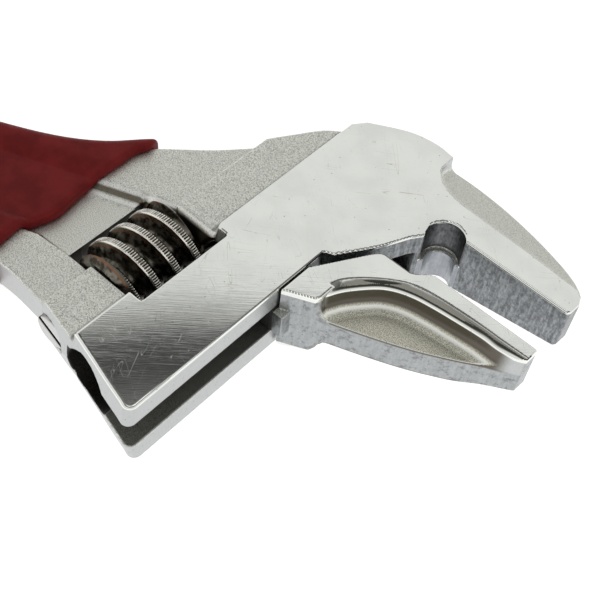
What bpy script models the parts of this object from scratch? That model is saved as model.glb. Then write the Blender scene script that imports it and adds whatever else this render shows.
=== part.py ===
"""Adjustable wrench with a wide, thin-nosed head and a dipped grip.

Units are metres, +Z is up. The wrench lies flat: the handle runs along X, the jaws
point towards +X, and z = 0 is the flat the head rests on. Features of the head are
placed in the head frame, which is turned by JAW_ANGLE about Z and centred in the
head's thickness: its x runs out along the jaws and its y across them, towards the
fixed jaw. The sliding jaw travels along the head frame's y.
"""

import math

import bmesh
import bpy
from mathutils import Matrix, Vector

# Overall layout
OVERALL_LENGTH = 0.165
JAW_TIP_X = 0.0825
HEAD_THICKNESS = 0.014
JAW_ANGLE = math.radians(22.5)
HEAD_ORIGIN = Vector((0.0410, -0.0053, HEAD_THICKNESS / 2))
HANDLE_AXIS_Y = -0.0005

# Levels of the forging, each symmetrical about the middle of the head. LEVEL_LAP is how far
# a thinner level reaches into the next thicker one.
BAND_THICKNESS = 0.0106
BLOCK_THICKNESS = 0.0064
BAND_LINE_X = -0.0146
BLOCK_LINE_X = -0.0229
LEVEL_LAP = 0.0015
FORGING_ROUNDING = 0.0012
RIM_STEPS = 3
HEEL_ROUNDING = 0.0016
HEEL_SOFTENS = (0.0205, 0.0255)
BACK_SOFTENS = (0.0305, 0.0325)

# Jaws
JAW_OPENING = 0.0084
FIXED_FACE_Y = 0.0265
JAW_REACH = 0.0328
JAW_TIP_THICKNESS = 0.0084
SLIDING_FACE_Y = FIXED_FACE_Y - JAW_OPENING
GROOVE_RADIUS = 0.0031
GROOVE_CENTRE = (0.0111, 0.0250)
TAPER_START_X = 0.0010
SCOOP_OUTER_EDGE = [(0.0345, 0.0345), (0.0250, 0.0460), (0.0016, 0.0460)]
SCOOP_DEPTH = 0.0025
SCOOP_WIDTH = 0.0070
SCOOP_HINGE_Y = 0.0310
LOWER_SCOOP_STEP = 0.0022

# Slide of the jaw
SLOT_WIDTH = 0.0055
SLOT_END_Y = 0.0225
BORE_X = -0.0110
BORE_RADIUS = 0.0050
BORE_END_Y = 0.0255
RUNNING_GAP = 0.0003
RACK_RADIUS = BORE_RADIUS - RUNNING_GAP
RACK_ENDS_Y = (-0.0200, 0.0212)
NECK_ENDS_Y = (-0.0012, 0.0092)
NECK_THICKNESS = SLOT_WIDTH - 2 * RUNNING_GAP

# Adjusting worm and its window
WINDOW_X = (-0.0285, -0.0121)
WINDOW_Y = (-0.0156, 0.0004)
WORM_X = -0.0209
WORM_PITCH = 0.0040
WORM_RADIUS = 0.0069
WORM_ROOT_RADIUS = 0.0045
WORM_ENDS_Y = (WINDOW_Y[0] + RUNNING_GAP, WINDOW_Y[1] - RUNNING_GAP)
WORM_THREAD_Y = -0.0118
CREST_WIDTH = 0.0012
FLANK_ANGLE = math.radians(20)
THREAD_LAP = 0.0008
WORM_STEPS = 32
TURNED_STEPS = 36
WORM_END_STEP = 0.0003
RACK_TOOTH_DEPTH = 0.0019
MESH_GAP = 0.00022

# Screw pin that the worm turns on, and the spring that steadies the worm
PIN_HEAD_RADIUS = 0.0030
PIN_RADIUS = 0.0018
PIN_HOLE_GAP = 0.00028
PIN_END_Y = 0.0052
PIN_HEAD_END_Y = -0.0246
PIN_CHAMFER = 0.0004
PIN_SLOT_WIDTH = 0.0010
PIN_SLOT_DEPTH = 0.0012
SPRING_WIRE_RADIUS = 0.00030
SPRING_RADIUS = 0.00252
SPRING_TURNS = 5
SPRING_STEPS = 14
SPRING_POCKET_RADIUS = 0.00318
SPRING_POCKET_DEPTH = 0.0052

# Handle and grip
HANDLE_END_RADIUS = 0.0110
CHANNEL_DEPTH = 0.0012
CHANNEL_END_X = -0.0600
GRIP_THICKNESS = 0.0013
GRIP_GAP = 0.0003
GRIP_ROUNDING = 0.0026
HANDLE_END_X = JAW_TIP_X - OVERALL_LENGTH + GRIP_THICKNESS + GRIP_GAP
HANG_HOLE_INSET = 0.0081
GRIP_SOFTENS = (0.0020, 0.0080)
HANG_HOLE_X = HANDLE_END_X + HANG_HOLE_INSET
HANG_HOLE_RADIUS = 0.0042

# Outline of the forging at its widest level, from the grip to the jaw, in the world's XY
BACK_EDGE = [
    (-0.0500, 0.0089),
    (-0.0320, 0.0089),
    (-0.0140, 0.0094),
    (-0.0030, 0.0104),
    (0.0048, 0.0125),
    (0.0118, 0.0161),
    (0.0206, 0.0197),
    (0.0285, 0.0239),
    (0.0361, 0.0300),
    (0.0425, 0.0323),
    (0.0495, 0.0331),
    (0.0544, 0.0322),
    (0.0577, 0.0305),
    (0.0628, 0.0283),
    (0.0683, 0.0251),
    (0.0738, 0.0209),
    (0.0787, 0.0163),
    (0.0812, 0.0132),
]
HEAD_BACK_START = 9
FRONT_EDGE = [
    (0.0110, -0.0192),
    (0.0068, -0.0169),
    (0.0006, -0.0142),
    (-0.0080, -0.0121),
    (-0.0180, -0.0105),
    (-0.0320, -0.0099),
    (-0.0500, -0.0099),
]

# Head outlines in the head frame's XY
HANDLE_INSIDE_BAND = [(-0.0180, -0.0240), (-0.0180, 0.0250)]
BAND_FRONT = [(BLOCK_LINE_X, -0.0242), (-0.0179, -0.0252), (-0.0136, -0.0260)]
BAND_BACK = [
    (-0.0136, 0.0330),
    (-0.0148, 0.0326),
    (-0.0178, 0.0300),
    (-0.0203, 0.0261),
    (BLOCK_LINE_X, 0.0218),
]
HEEL_CORNER = (-0.0016, -0.0273)
HEEL_CORNER_RADIUS = 0.0016
HEEL_EDGE = [(BAND_LINE_X, -0.0258), (-0.0060, -0.0278)]
HEAD_CREST = (BAND_LINE_X, 0.0330)
THROAT = [(0.0, 0.0096), (0.0014, 0.0103), (0.0074, 0.0212)]
FIXED_TIP = [(0.0325, FIXED_FACE_Y), (JAW_REACH, 0.0290), (0.0322, 0.0306)]
SCOOP_INNER_EDGE = [
    (0.0016, 0.0362),
    (0.0035, 0.0340),
    (0.0085, 0.0318),
    (0.0149, 0.0315),
    (0.0222, 0.0313),
    (0.0295, 0.0306),
]
SHOULDER = [
    (RUNNING_GAP, -0.0001),
    (RUNNING_GAP, 0.0059),
    (0.0055, 0.0149),
    (0.0068, 0.0159),
    (0.0118, 0.0161),
    (0.0134, 0.0174),
    (0.0145, SLIDING_FACE_Y),
    (0.0330, SLIDING_FACE_Y),
]
POCKET_RIDGE = [
    (0.0333, 0.0153),
    (0.0289, 0.0145),
    (0.0209, 0.0140),
    (0.0146, 0.0130),
    (0.0096, 0.0104),
    (0.0066, 0.0068),
    (0.0050, 0.0023),
]
SLIDING_JAW_BACK = [
    (0.0325, 0.0152),
    (0.0284, 0.0134),
    (0.0248, 0.0112),
    (0.0192, 0.0081),
    (0.0132, 0.0054),
    (0.0072, 0.0030),
    (0.0050, 0.0022),
]

# Where the grip stops on the metal, from the back edge to the front edge
GRIP_MOUTH = [
    (0.0124, 0.0167),
    (0.0098, 0.0132),
    (0.0065, 0.0057),
    (0.0049, -0.0022),
    (0.0010, -0.0073),
    (-0.0014, -0.0139),
]


def clear_scene():
    for thing in list(bpy.data.objects):
        bpy.data.objects.remove(thing, do_unlink=True)


def new_collection(name):
    collection = bpy.data.collections.new(name)
    bpy.context.scene.collection.children.link(collection)
    return collection


def move_to(collection, thing):
    for old in list(thing.users_collection):
        old.objects.unlink(thing)
    collection.objects.link(thing)


def new_material(name, colour, roughness, metallic):
    material = bpy.data.materials.new(name)
    material.use_nodes = True
    shader = material.node_tree.nodes["Principled BSDF"]
    shader.inputs["Base Color"].default_value = (*colour, 1.0)
    shader.inputs["Roughness"].default_value = roughness
    shader.inputs["Metallic"].default_value = metallic
    return material


def smooth_run(points, steps=4):
    """A soft line through the points, as a Catmull-Rom curve."""
    ends = [points[0], *points, points[-1]]
    line = []
    for before, a, b, after in zip(ends, ends[1:], ends[2:], ends[3:]):
        before, a, b, after = (Vector(p) for p in (before, a, b, after))
        for step in range(steps):
            t = step / steps
            spot = (
                2 * a
                + (b - before) * t
                + (2 * before - 5 * a + 4 * b - after) * t**2
                + (3 * a - before - 3 * b + after) * t**3
            )
            line.append(tuple(spot / 2))
    return [*line, tuple(points[-1])]


def arc(centre, radius, start, end, steps):
    """Points on an arc, with its angles in degrees."""
    angles = [math.radians(start + (end - start) * i / steps) for i in range(steps + 1)]
    return [(centre[0] + radius * math.cos(a), centre[1] + radius * math.sin(a)) for a in angles]


def head_to_world(point):
    turned = Matrix.Rotation(-JAW_ANGLE, 3, "Z") @ Vector((point[0], point[1], 0))
    return (turned.x + HEAD_ORIGIN.x, turned.y + HEAD_ORIGIN.y)


def world_to_head(point):
    offset = Vector((point[0] - HEAD_ORIGIN.x, point[1] - HEAD_ORIGIN.y, 0))
    turned = Matrix.Rotation(JAW_ANGLE, 3, "Z") @ offset
    return (turned.x, turned.y)


def ramp(value, start, end):
    """Rises from 0 at start to 1 at end, and stays there."""
    return min(1.0, max(0.0, (value - start) / (end - start)))


def grown(outline, distance):
    """A closed, anticlockwise outline moved outwards by a distance."""
    count = len(outline)
    result = []
    for i in range(count):
        before, here, after = (Vector(outline[(i + step) % count]) for step in (-1, 0, 1))
        first, second = (here - before).normalized(), (after - here).normalized()
        along = (first + second).normalized()
        outward = Vector((along.y, -along.x))
        spread = max(0.5, outward.dot(Vector((first.y, -first.x))))
        result.append(tuple(here + outward * distance / spread))
    return result


def as_mesh(thing, weld=1e-6):
    """A curve made a mesh object of the same name and place, with its caps welded on."""
    graph = bpy.context.evaluated_depsgraph_get()
    mesh = bpy.data.meshes.new_from_object(thing.evaluated_get(graph))
    shape = bmesh.new()
    shape.from_mesh(mesh)
    bmesh.ops.remove_doubles(shape, verts=shape.verts, dist=weld)
    bmesh.ops.recalc_face_normals(shape, faces=shape.faces)
    shape.to_mesh(mesh)
    shape.free()
    name, place, collection = thing.name, thing.matrix_world.copy(), thing.users_collection[0]
    bpy.data.objects.remove(thing, do_unlink=True)
    result = bpy.data.objects.new(name, mesh)
    collection.objects.link(result)
    result.matrix_world = place
    return result


def plate(name, outline, low, high, collection, place=None):
    """A flat outline given a thickness, from the height low to the height high."""
    curve = bpy.data.curves.new(name, "CURVE")
    curve.dimensions = "2D"
    curve.fill_mode = "BOTH"
    curve.extrude = (high - low) / 2
    spline = curve.splines.new("POLY")
    spline.points.add(len(outline) - 1)
    for point, (x, y) in zip(spline.points, outline):
        point.co = (x, y, 0, 1)
    spline.use_cyclic_u = True
    thing = bpy.data.objects.new(name, curve)
    collection.objects.link(thing)
    thing.matrix_world = (place or Matrix()) @ Matrix.Translation((0, 0, (low + high) / 2))
    bpy.context.view_layer.update()
    return as_mesh(thing)


def box(name, x, y, z, collection, place=None):
    """A box between two values of each of its three axes."""
    bpy.ops.mesh.primitive_cube_add(size=1)
    thing = bpy.context.active_object
    thing.name = name
    sizes = [end - start for start, end in (x, y, z)]
    middles = [(start + end) / 2 for start, end in (x, y, z)]
    thing.data.transform(Matrix.Diagonal((*sizes, 1)))
    thing.matrix_world = (place or Matrix()) @ Matrix.Translation(middles)
    move_to(collection, thing)
    return thing


def cylinder(name, radius, start, end, collection, place=None, sides=48):
    """A cylinder from the point start to the point end."""
    start, end = Vector(start), Vector(end)
    bpy.ops.mesh.primitive_cylinder_add(radius=radius, depth=(end - start).length, vertices=sides)
    thing = bpy.context.active_object
    thing.name = name
    turn = (end - start).to_track_quat("Z", "Y").to_matrix().to_4x4()
    thing.matrix_world = (place or Matrix()) @ Matrix.Translation((start + end) / 2) @ turn
    move_to(collection, thing)
    return thing


def boolean(thing, other, operation):
    """Adds one EXACT Boolean and hides the object it uses."""
    modifier = thing.modifiers.new(f"{operation.lower()} {other.name}", "BOOLEAN")
    modifier.operation = operation
    modifier.object = other
    modifier.solver = "EXACT"
    other.hide_render = True
    other.display_type = "WIRE"


def forged_plate(name, outline, half, rounding, collection, place=None, softness=lambda point: 1.0):
    """A plate 2 * half thick whose rims are rounded as far as softness, 0 to 1, says at a point."""
    quarter = [math.radians(90 * step / RIM_STEPS) for step in range(RIM_STEPS + 1)]
    levels = [(half - rounding * (1 - math.sin(a)), rounding * (1 - math.cos(a))) for a in quarter]
    levels = [(-z, inset) for z, inset in levels[::-1]] + levels
    count = len(outline)
    full = [Vector(point) for point in outline]
    inward = [Vector(b) - Vector(a) for a, b in zip(outline, grown(outline, -1.0))]
    shape = bmesh.new()
    rings = []
    for z, inset in levels:
        spots = [p + way * inset * softness(p) for p, way in zip(full, inward)]
        rings.append([shape.verts.new((*spot, z)) for spot in spots])
    for low, high in zip(rings, rings[1:]):
        for i in range(count):
            j = (i + 1) % count
            shape.faces.new((low[i], low[j], high[j], high[i]))
    shape.faces.new(rings[0])
    shape.faces.new(rings[-1])
    bmesh.ops.recalc_face_normals(shape, faces=shape.faces)
    bmesh.ops.triangulate(shape, faces=shape.faces)
    mesh = bpy.data.meshes.new(name)
    shape.to_mesh(mesh)
    shape.free()
    thing = bpy.data.objects.new(name, mesh)
    collection.objects.link(thing)
    thing.matrix_world = place or Matrix()
    return thing


def set_pivot(thing, pivot):
    """Puts the origin at a point of the world and leaves the shape where it is."""
    shift = Matrix.Translation(Vector(pivot)).inverted() @ thing.matrix_world
    thing.data.transform(shift)
    thing.matrix_world = Matrix.Translation(Vector(pivot))


def finish(thing, material, collection):
    thing.data.materials.clear()
    thing.data.materials.append(material)
    thing.data.shade_smooth()
    thing.data.set_sharp_from_angle(angle=math.radians(30))
    move_to(collection, thing)


def handle_outline():
    """The handle from its round end to the block line, anticlockwise in the world's XY."""
    middle = HANDLE_END_X + HANDLE_END_RADIUS
    end = arc((middle, HANDLE_AXIS_Y), HANDLE_END_RADIUS, 105, 255, 14)
    back = [p for p in BACK_EDGE if world_to_head(p)[0] < BLOCK_LINE_X + LEVEL_LAP]
    front = [p for p in FRONT_EDGE if world_to_head(p)[0] < BLOCK_LINE_X + LEVEL_LAP]
    upper = smooth_run([end[0], *back], 3)
    lower = smooth_run([*front, end[-1]], 3)
    inside_band = [head_to_world(p) for p in HANDLE_INSIDE_BAND]
    return upper[::-1] + end[1:-1] + lower[::-1] + inside_band


def band_outline():
    """The sandblasted band between its two step lines, in the head frame."""
    right = BAND_LINE_X + LEVEL_LAP
    return [*BAND_FRONT, (right, BAND_FRONT[-1][1]), (right, BAND_BACK[0][1]), *BAND_BACK]


def head_outline():
    """The thick part of the head with the fixed jaw, in the head frame."""
    heel = HEEL_EDGE + arc(HEEL_CORNER, HEEL_CORNER_RADIUS, -75, 0, 4)
    across = FIXED_FACE_Y - GROOVE_CENTRE[1]
    leave = math.degrees(math.asin(across / GROOVE_RADIUS))
    groove = arc(GROOVE_CENTRE, GROOVE_RADIUS, 218, leave, 14)
    back = [world_to_head(p) for p in BACK_EDGE[HEAD_BACK_START:]]
    back = [p for p in smooth_run(back, 3) if p[0] > BAND_LINE_X + 0.001]
    return [*heel, *THROAT, *groove, *FIXED_TIP, *back[::-1], HEAD_CREST]


def head_softness(point):
    """The heel's end and the head's back are forged round, and the faces at the jaws are cut square."""
    heel = ramp(-point.y, *HEEL_SOFTENS) if point.x < -0.0004 else 0.0
    back = ramp(point.y, *BACK_SOFTENS) if point.x < 0.0300 else 0.0
    return max(heel, back)


def taper_cutter(name, head_frame, helpers):
    """The wedge that thins both jaws from below, from the slot face out to the tips."""
    slope = math.atan2(HEAD_THICKNESS - JAW_TIP_THICKNESS, JAW_REACH - TAPER_START_X)
    hinge = Matrix.Translation((TAPER_START_X, 0.0, -HEAD_THICKNESS / 2))
    place = head_frame @ hinge @ Matrix.Rotation(-slope, 4, "Y")
    return box(name, (-0.020, 0.060), (-0.080, 0.080), (-0.010, 0.0), helpers, place)


def scoop_cutter(side, head_frame, helpers):
    """Slopes the fixed jaw's back away from the polished face, on the upper or lower side."""
    sign = 1 if side == "upper" else -1
    level = HEAD_THICKNESS / 2 if side == "upper" else HEAD_THICKNESS / 2 - LOWER_SCOOP_STEP
    low, high = sorted((0.0, sign * HEAD_THICKNESS))
    place = (
        head_frame
        @ Matrix.Translation((0.0, SCOOP_HINGE_Y, sign * level))
        @ Matrix.Rotation(-sign * math.atan2(SCOOP_DEPTH, SCOOP_WIDTH), 4, "X")
        @ Matrix.Translation((0.0, -SCOOP_HINGE_Y, 0.0))
    )
    outline = SCOOP_INNER_EDGE + SCOOP_OUTER_EDGE
    return plate(f"scoop {side}", outline, low, high, helpers, place)


def channel_outline():
    """The recess along the handle, from the worm's window to before the hanging hole."""
    near = [head_to_world((WINDOW_X[0] + 0.001, y)) for y in WINDOW_Y]
    upper = [(0.0063, 0.0058), (-0.0100, 0.0050), (CHANNEL_END_X, 0.0048)]
    lower = [(CHANNEL_END_X, -0.0058), (-0.0100, -0.0062), (0.0030, -0.0071)]
    return [near[1], *upper, *lower, near[0]]


def build_body(head_frame, helpers):
    """The forged body: handle, head and fixed jaw in one piece."""
    middle = HEAD_ORIGIN.z
    level = Matrix.Translation((0.0, 0.0, middle))
    rounding = FORGING_ROUNDING
    body = forged_plate("wrench_body", handle_outline(), BLOCK_THICKNESS / 2, rounding, helpers, level)
    band = forged_plate("band", band_outline(), BAND_THICKNESS / 2, rounding, helpers, head_frame)
    head = forged_plate(
        "head", head_outline(), HEAD_THICKNESS / 2, HEEL_ROUNDING, helpers, head_frame, head_softness
    )
    for piece in (band, head):
        boolean(body, piece, "UNION")

    for side in (1, -1):
        floor = middle + side * (BLOCK_THICKNESS / 2 - CHANNEL_DEPTH)
        low, high = sorted((floor, floor + side * 0.010))
        boolean(body, plate(f"channel {side}", channel_outline(), low, high, helpers), "DIFFERENCE")
    for side in ("upper", "lower"):
        boolean(body, scoop_cutter(side, head_frame, helpers), "DIFFERENCE")
    boolean(body, taper_cutter("body taper", head_frame, helpers), "DIFFERENCE")

    deep = 0.020
    half_slot = SLOT_WIDTH / 2
    slot = box("slot", (BORE_X, deep), (-0.040, SLOT_END_Y), (-half_slot, half_slot), helpers, head_frame)
    window = box("window", WINDOW_X, WINDOW_Y, (-deep, deep), helpers, head_frame)
    bore_ends = ((BORE_X, -0.040, 0), (BORE_X, BORE_END_Y, 0))
    bore = cylinder("bore", BORE_RADIUS, *bore_ends, helpers, head_frame)
    pin_gap = PIN_HOLE_GAP
    head_hole_ends = ((WORM_X, -0.040, 0), (WORM_X, WINDOW_Y[0] + 0.001, 0))
    shank_ends = ((WORM_X, WINDOW_Y[1] - 0.001, 0), (WORM_X, PIN_END_Y + pin_gap, 0))
    pin_hole = cylinder("pin hole", PIN_HEAD_RADIUS + pin_gap, *head_hole_ends, helpers, head_frame, 32)
    shank_hole = cylinder("shank hole", PIN_RADIUS + pin_gap, *shank_ends, helpers, head_frame, 32)
    hang_ends = ((HANG_HOLE_X, HANDLE_AXIS_Y, -deep), (HANG_HOLE_X, HANDLE_AXIS_Y, 2 * deep))
    hang_hole = cylinder("hang hole", HANG_HOLE_RADIUS, *hang_ends, helpers, None, 40)
    for cutter in (slot, window, bore, pin_hole, shank_hole, hang_hole):
        boolean(body, cutter, "DIFFERENCE")
    return body


def rack_comb(head_frame, helpers):
    """The cutter of the rack's teeth: one comb whose teeth follow the worm's thread."""
    face = BORE_X - RACK_RADIUS
    tip = face + RACK_TOOTH_DEPTH
    half_tip = CREST_WIDTH / 2 + MESH_GAP
    half_root = half_tip + RACK_TOOTH_DEPTH * math.tan(FLANK_ANGLE)
    back = face - 0.003
    start_y, end_y = RACK_ENDS_Y
    # On the side that faces the rack, half a turn after the far side, the thread stands here.
    meets = WORM_THREAD_Y + WORM_PITCH / 2
    first = math.ceil((start_y - meets) / WORM_PITCH) - 1
    last = math.floor((end_y - meets) / WORM_PITCH) + 1
    outline = [(back, meets + (last + 1) * WORM_PITCH), (back, meets + (first - 1) * WORM_PITCH)]
    outline.append((face, meets + (first - 1) * WORM_PITCH))
    for i in range(first, last + 1):
        y = meets + i * WORM_PITCH
        outline += [(face, y - half_root), (tip, y - half_tip), (tip, y + half_tip), (face, y + half_root)]
    outline.append((face, meets + (last + 1) * WORM_PITCH))
    comb = plate("rack comb", outline, -0.008, 0.008, helpers)
    lean = Matrix.Identity(4)
    lean[1][2] = -WORM_PITCH / (math.tau * WORM_RADIUS)
    comb.data.transform(lean)
    comb.matrix_world = head_frame
    return comb


def build_sliding_jaw(head_frame, helpers):
    """The sliding jaw with its neck and the round toothed rack under it."""
    half = HEAD_THICKNESS / 2
    half_web = SLOT_WIDTH / 2
    ridge = smooth_run(POCKET_RIDGE, 3)
    jaw = plate("sliding_jaw", SHOULDER + ridge, -half, half, helpers, head_frame)
    back = smooth_run(SLIDING_JAW_BACK, 2)
    web_outline = SHOULDER[:-1] + [(JAW_REACH, SLIDING_FACE_Y)] + back
    web = plate("jaw web", web_outline, -half_web, half_web, helpers, head_frame)
    half_neck = NECK_THICKNESS / 2
    neck = box("jaw neck", (BORE_X, 0.002), NECK_ENDS_Y, (-half_neck, half_neck), helpers, head_frame)
    rack_ends = ((BORE_X, RACK_ENDS_Y[0], 0), (BORE_X, RACK_ENDS_Y[1], 0))
    rack = cylinder("rack bar", RACK_RADIUS, *rack_ends, helpers, head_frame)
    for piece in (web, neck, rack):
        boolean(jaw, piece, "UNION")
    boolean(jaw, taper_cutter("jaw taper", head_frame, helpers), "DIFFERENCE")
    boolean(jaw, rack_comb(head_frame, helpers), "DIFFERENCE")
    return jaw


def build_worm(head_frame, helpers):
    """The adjusting worm: a core with one helical thread, trimmed flat at both ends."""
    start_y, end_y = WORM_ENDS_Y
    core_ends = ((WORM_X, start_y, 0), (WORM_X, end_y, 0))
    worm = cylinder("adjusting_worm", WORM_ROOT_RADIUS, *core_ends, helpers, head_frame)
    hole_ends = ((WORM_X, start_y - 0.001, 0), (WORM_X, end_y + 0.001, 0))
    hole = cylinder("worm hole", PIN_RADIUS + PIN_HOLE_GAP, *hole_ends, helpers, head_frame, 32)
    pocket_ends = ((WORM_X, end_y - SPRING_POCKET_DEPTH, 0), (WORM_X, end_y + 0.001, 0))
    pocket = cylinder("spring pocket", SPRING_POCKET_RADIUS, *pocket_ends, helpers, head_frame, 32)
    boolean(worm, hole, "DIFFERENCE")
    boolean(worm, pocket, "DIFFERENCE")

    inner = WORM_ROOT_RADIUS - THREAD_LAP
    half_crest = CREST_WIDTH / 2
    half_base = half_crest + (WORM_RADIUS - inner) * math.tan(FLANK_ANGLE)
    lower_flank = [(inner, -half_base), (WORM_RADIUS, -half_crest)]
    section = lower_flank + [(WORM_RADIUS, half_crest), (inner, half_base)]
    first_turn = math.floor((start_y - WORM_THREAD_Y) / WORM_PITCH) - 1
    last_turn = math.ceil((end_y - WORM_THREAD_Y) / WORM_PITCH) + 1
    shape = bmesh.new()
    rings = []
    for step in range(first_turn * WORM_STEPS, last_turn * WORM_STEPS + 1):
        turn = step / WORM_STEPS
        angle = math.tau * turn
        ring = []
        for radius, along in section:
            # The turn starts on the side away from the rack and rises over the top.
            x = WORM_X - radius * math.cos(angle)
            z = radius * math.sin(angle)
            ring.append(shape.verts.new((x, WORM_THREAD_Y + WORM_PITCH * turn + along, z)))
        rings.append(ring)
    for ring, after in zip(rings, rings[1:]):
        for i in range(4):
            j = (i + 1) % 4
            shape.faces.new((ring[i], ring[j], after[j], after[i]))
    shape.faces.new(rings[0])
    shape.faces.new(rings[-1])
    bmesh.ops.recalc_face_normals(shape, faces=shape.faces)
    bmesh.ops.triangulate(shape, faces=shape.faces)
    mesh = bpy.data.meshes.new("thread")
    shape.to_mesh(mesh)
    shape.free()
    thread = bpy.data.objects.new("thread", mesh)
    helpers.objects.link(thread)
    thread.matrix_world = head_frame

    trim_y = (start_y + WORM_END_STEP, end_y - WORM_END_STEP)
    trim = box("worm length", (-0.040, 0.0), trim_y, (-0.010, 0.010), helpers, head_frame)
    boolean(thread, trim, "INTERSECT")
    boolean(worm, thread, "UNION")
    return worm


def build_pin(head_frame, helpers):
    """The slotted screw pin, turned about its own axis."""
    head_end = PIN_HEAD_END_Y
    chamfer = PIN_CHAMFER
    neck_y = WINDOW_Y[0]
    profile = [
        (0.0, PIN_END_Y),
        (PIN_RADIUS - chamfer, PIN_END_Y),
        (PIN_RADIUS, PIN_END_Y - chamfer),
        (PIN_RADIUS, neck_y),
        (PIN_HEAD_RADIUS, neck_y),
        (PIN_HEAD_RADIUS, head_end + chamfer),
        (PIN_HEAD_RADIUS - chamfer, head_end),
        (0.0, head_end),
    ]
    mesh = bpy.data.meshes.new("worm_pin")
    mesh.from_pydata([(r, 0, y) for r, y in profile], [(i, i + 1) for i in range(len(profile) - 1)], [])
    pin = bpy.data.objects.new("worm_pin", mesh)
    helpers.objects.link(pin)
    screw = pin.modifiers.new("turned", "SCREW")
    screw.steps = screw.render_steps = TURNED_STEPS
    screw.use_merge_vertices = True
    screw.merge_threshold = 1e-5
    lie_down = Matrix.Rotation(-math.pi / 2, 4, "X")
    pin.matrix_world = head_frame @ Matrix.Translation((WORM_X, 0, 0)) @ lie_down
    half = PIN_SLOT_WIDTH / 2
    slot_y = (head_end - 0.002, head_end + PIN_SLOT_DEPTH)
    slot = box("pin slot", (WORM_X - 0.005, WORM_X + 0.005), slot_y, (-half, half), helpers, head_frame)
    boolean(pin, slot, "DIFFERENCE")
    return pin


def build_spring(head_frame, collection):
    """The coil spring that sits in the worm's end pocket and bears on the window's wall."""
    start = WORM_ENDS_Y[1] - SPRING_POCKET_DEPTH + RUNNING_GAP + SPRING_WIRE_RADIUS
    end = WINDOW_Y[1] - RUNNING_GAP - SPRING_WIRE_RADIUS
    curve = bpy.data.curves.new("worm_spring", "CURVE")
    curve.dimensions = "3D"
    curve.bevel_depth = SPRING_WIRE_RADIUS
    curve.bevel_resolution = 1
    curve.use_fill_caps = True
    steps = SPRING_STEPS * SPRING_TURNS
    spline = curve.splines.new("POLY")
    spline.points.add(steps)
    for i, point in enumerate(spline.points):
        angle = math.tau * SPRING_TURNS * i / steps
        x = WORM_X + SPRING_RADIUS * math.cos(angle)
        y = start + (end - start) * i / steps
        point.co = (x, y, SPRING_RADIUS * math.sin(angle), 1)
    spring = bpy.data.objects.new("worm_spring", curve)
    collection.objects.link(spring)
    spring.matrix_world = head_frame
    bpy.context.view_layer.update()
    return as_mesh(spring)


def grip_outline():
    """The grip's outer line: the handle's outline grown, ending at the grip's mouth."""
    outer = grown(handle_outline(), GRIP_THICKNESS + GRIP_GAP)
    mouth = smooth_run(GRIP_MOUTH, 3)
    kept = [p for p in outer if p[0] < (mouth[0][0] if p[1] > HANDLE_AXIS_Y else mouth[-1][0]) - 0.001]
    return kept + mouth[::-1]


def grip_softness(point):
    """The grip's rims are round along the handle and its mouth is cut square."""
    return ramp(-point.x, *GRIP_SOFTENS)


def build_grip(helpers):
    """The dipped grip: a sleeve open at the head end, with a hole for hanging."""
    middle = HEAD_ORIGIN.z
    half_inner = BLOCK_THICKNESS / 2 + GRIP_GAP
    half_outer = half_inner + GRIP_THICKNESS
    level = Matrix.Translation((0.0, 0.0, middle))
    grip = forged_plate(
        "grip_sleeve", grip_outline(), half_outer, GRIP_ROUNDING, helpers, level, grip_softness
    )
    cavity_outline = grown(handle_outline(), GRIP_GAP)
    cavity = forged_plate("grip cavity", cavity_outline, half_inner, FORGING_ROUNDING, helpers, level)
    hang_ends = ((HANG_HOLE_X, HANDLE_AXIS_Y, -0.010), (HANG_HOLE_X, HANDLE_AXIS_Y, 0.030))
    hole = cylinder("grip hang hole", HANG_HOLE_RADIUS, *hang_ends, helpers, None, 40)
    boolean(grip, cavity, "DIFFERENCE")
    boolean(grip, hole, "DIFFERENCE")
    return grip


def main():
    clear_scene()
    wrench = new_collection("adjustable_wrench")
    helpers = new_collection("cutters")
    head_frame = Matrix.Translation(HEAD_ORIGIN) @ Matrix.Rotation(-JAW_ANGLE, 4, "Z")

    chrome = new_material("satin_chrome", (0.62, 0.62, 0.59), 0.34, 1.0)
    jaw_steel = new_material("jaw_chrome", (0.64, 0.64, 0.61), 0.30, 1.0)
    worm_steel = new_material("worm_steel", (0.36, 0.33, 0.29), 0.32, 1.0)
    pin_steel = new_material("pin_steel", (0.40, 0.39, 0.37), 0.38, 1.0)
    spring_steel = new_material("spring_steel", (0.45, 0.44, 0.42), 0.30, 1.0)
    red_vinyl = new_material("red_vinyl", (0.17, 0.016, 0.018), 0.48, 0.0)

    worm_axis = head_frame @ Vector((WORM_X, sum(WORM_ENDS_Y) / 2, 0))
    rack_axis = head_frame @ Vector((BORE_X, 0, 0))
    pieces = [
        (build_body(head_frame, helpers), chrome, None),
        (build_sliding_jaw(head_frame, helpers), jaw_steel, rack_axis),
        (build_worm(head_frame, helpers), worm_steel, worm_axis),
        (build_pin(head_frame, helpers), pin_steel, None),
        (build_spring(head_frame, wrench), spring_steel, None),
        (build_grip(helpers), red_vinyl, None),
    ]
    for thing, material, pivot in pieces:
        finish(thing, material, wrench)
        if pivot is not None:
            set_pivot(thing, pivot)


main()
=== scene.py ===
"""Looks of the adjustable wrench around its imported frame.

The metal and the grip are made from distance fields: functions that say how far a point is
from a surface, negative inside. Fields and outlines are in millimetres, in the head frame:
x runs out along the jaws, y across them towards the fixed jaw, and z up from the middle of
the head's thickness. as_piece turns them into metres in the row frame.
"""

import itertools
import math

import bpy
import numpy as np
from mathutils import Matrix, Vector


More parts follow.
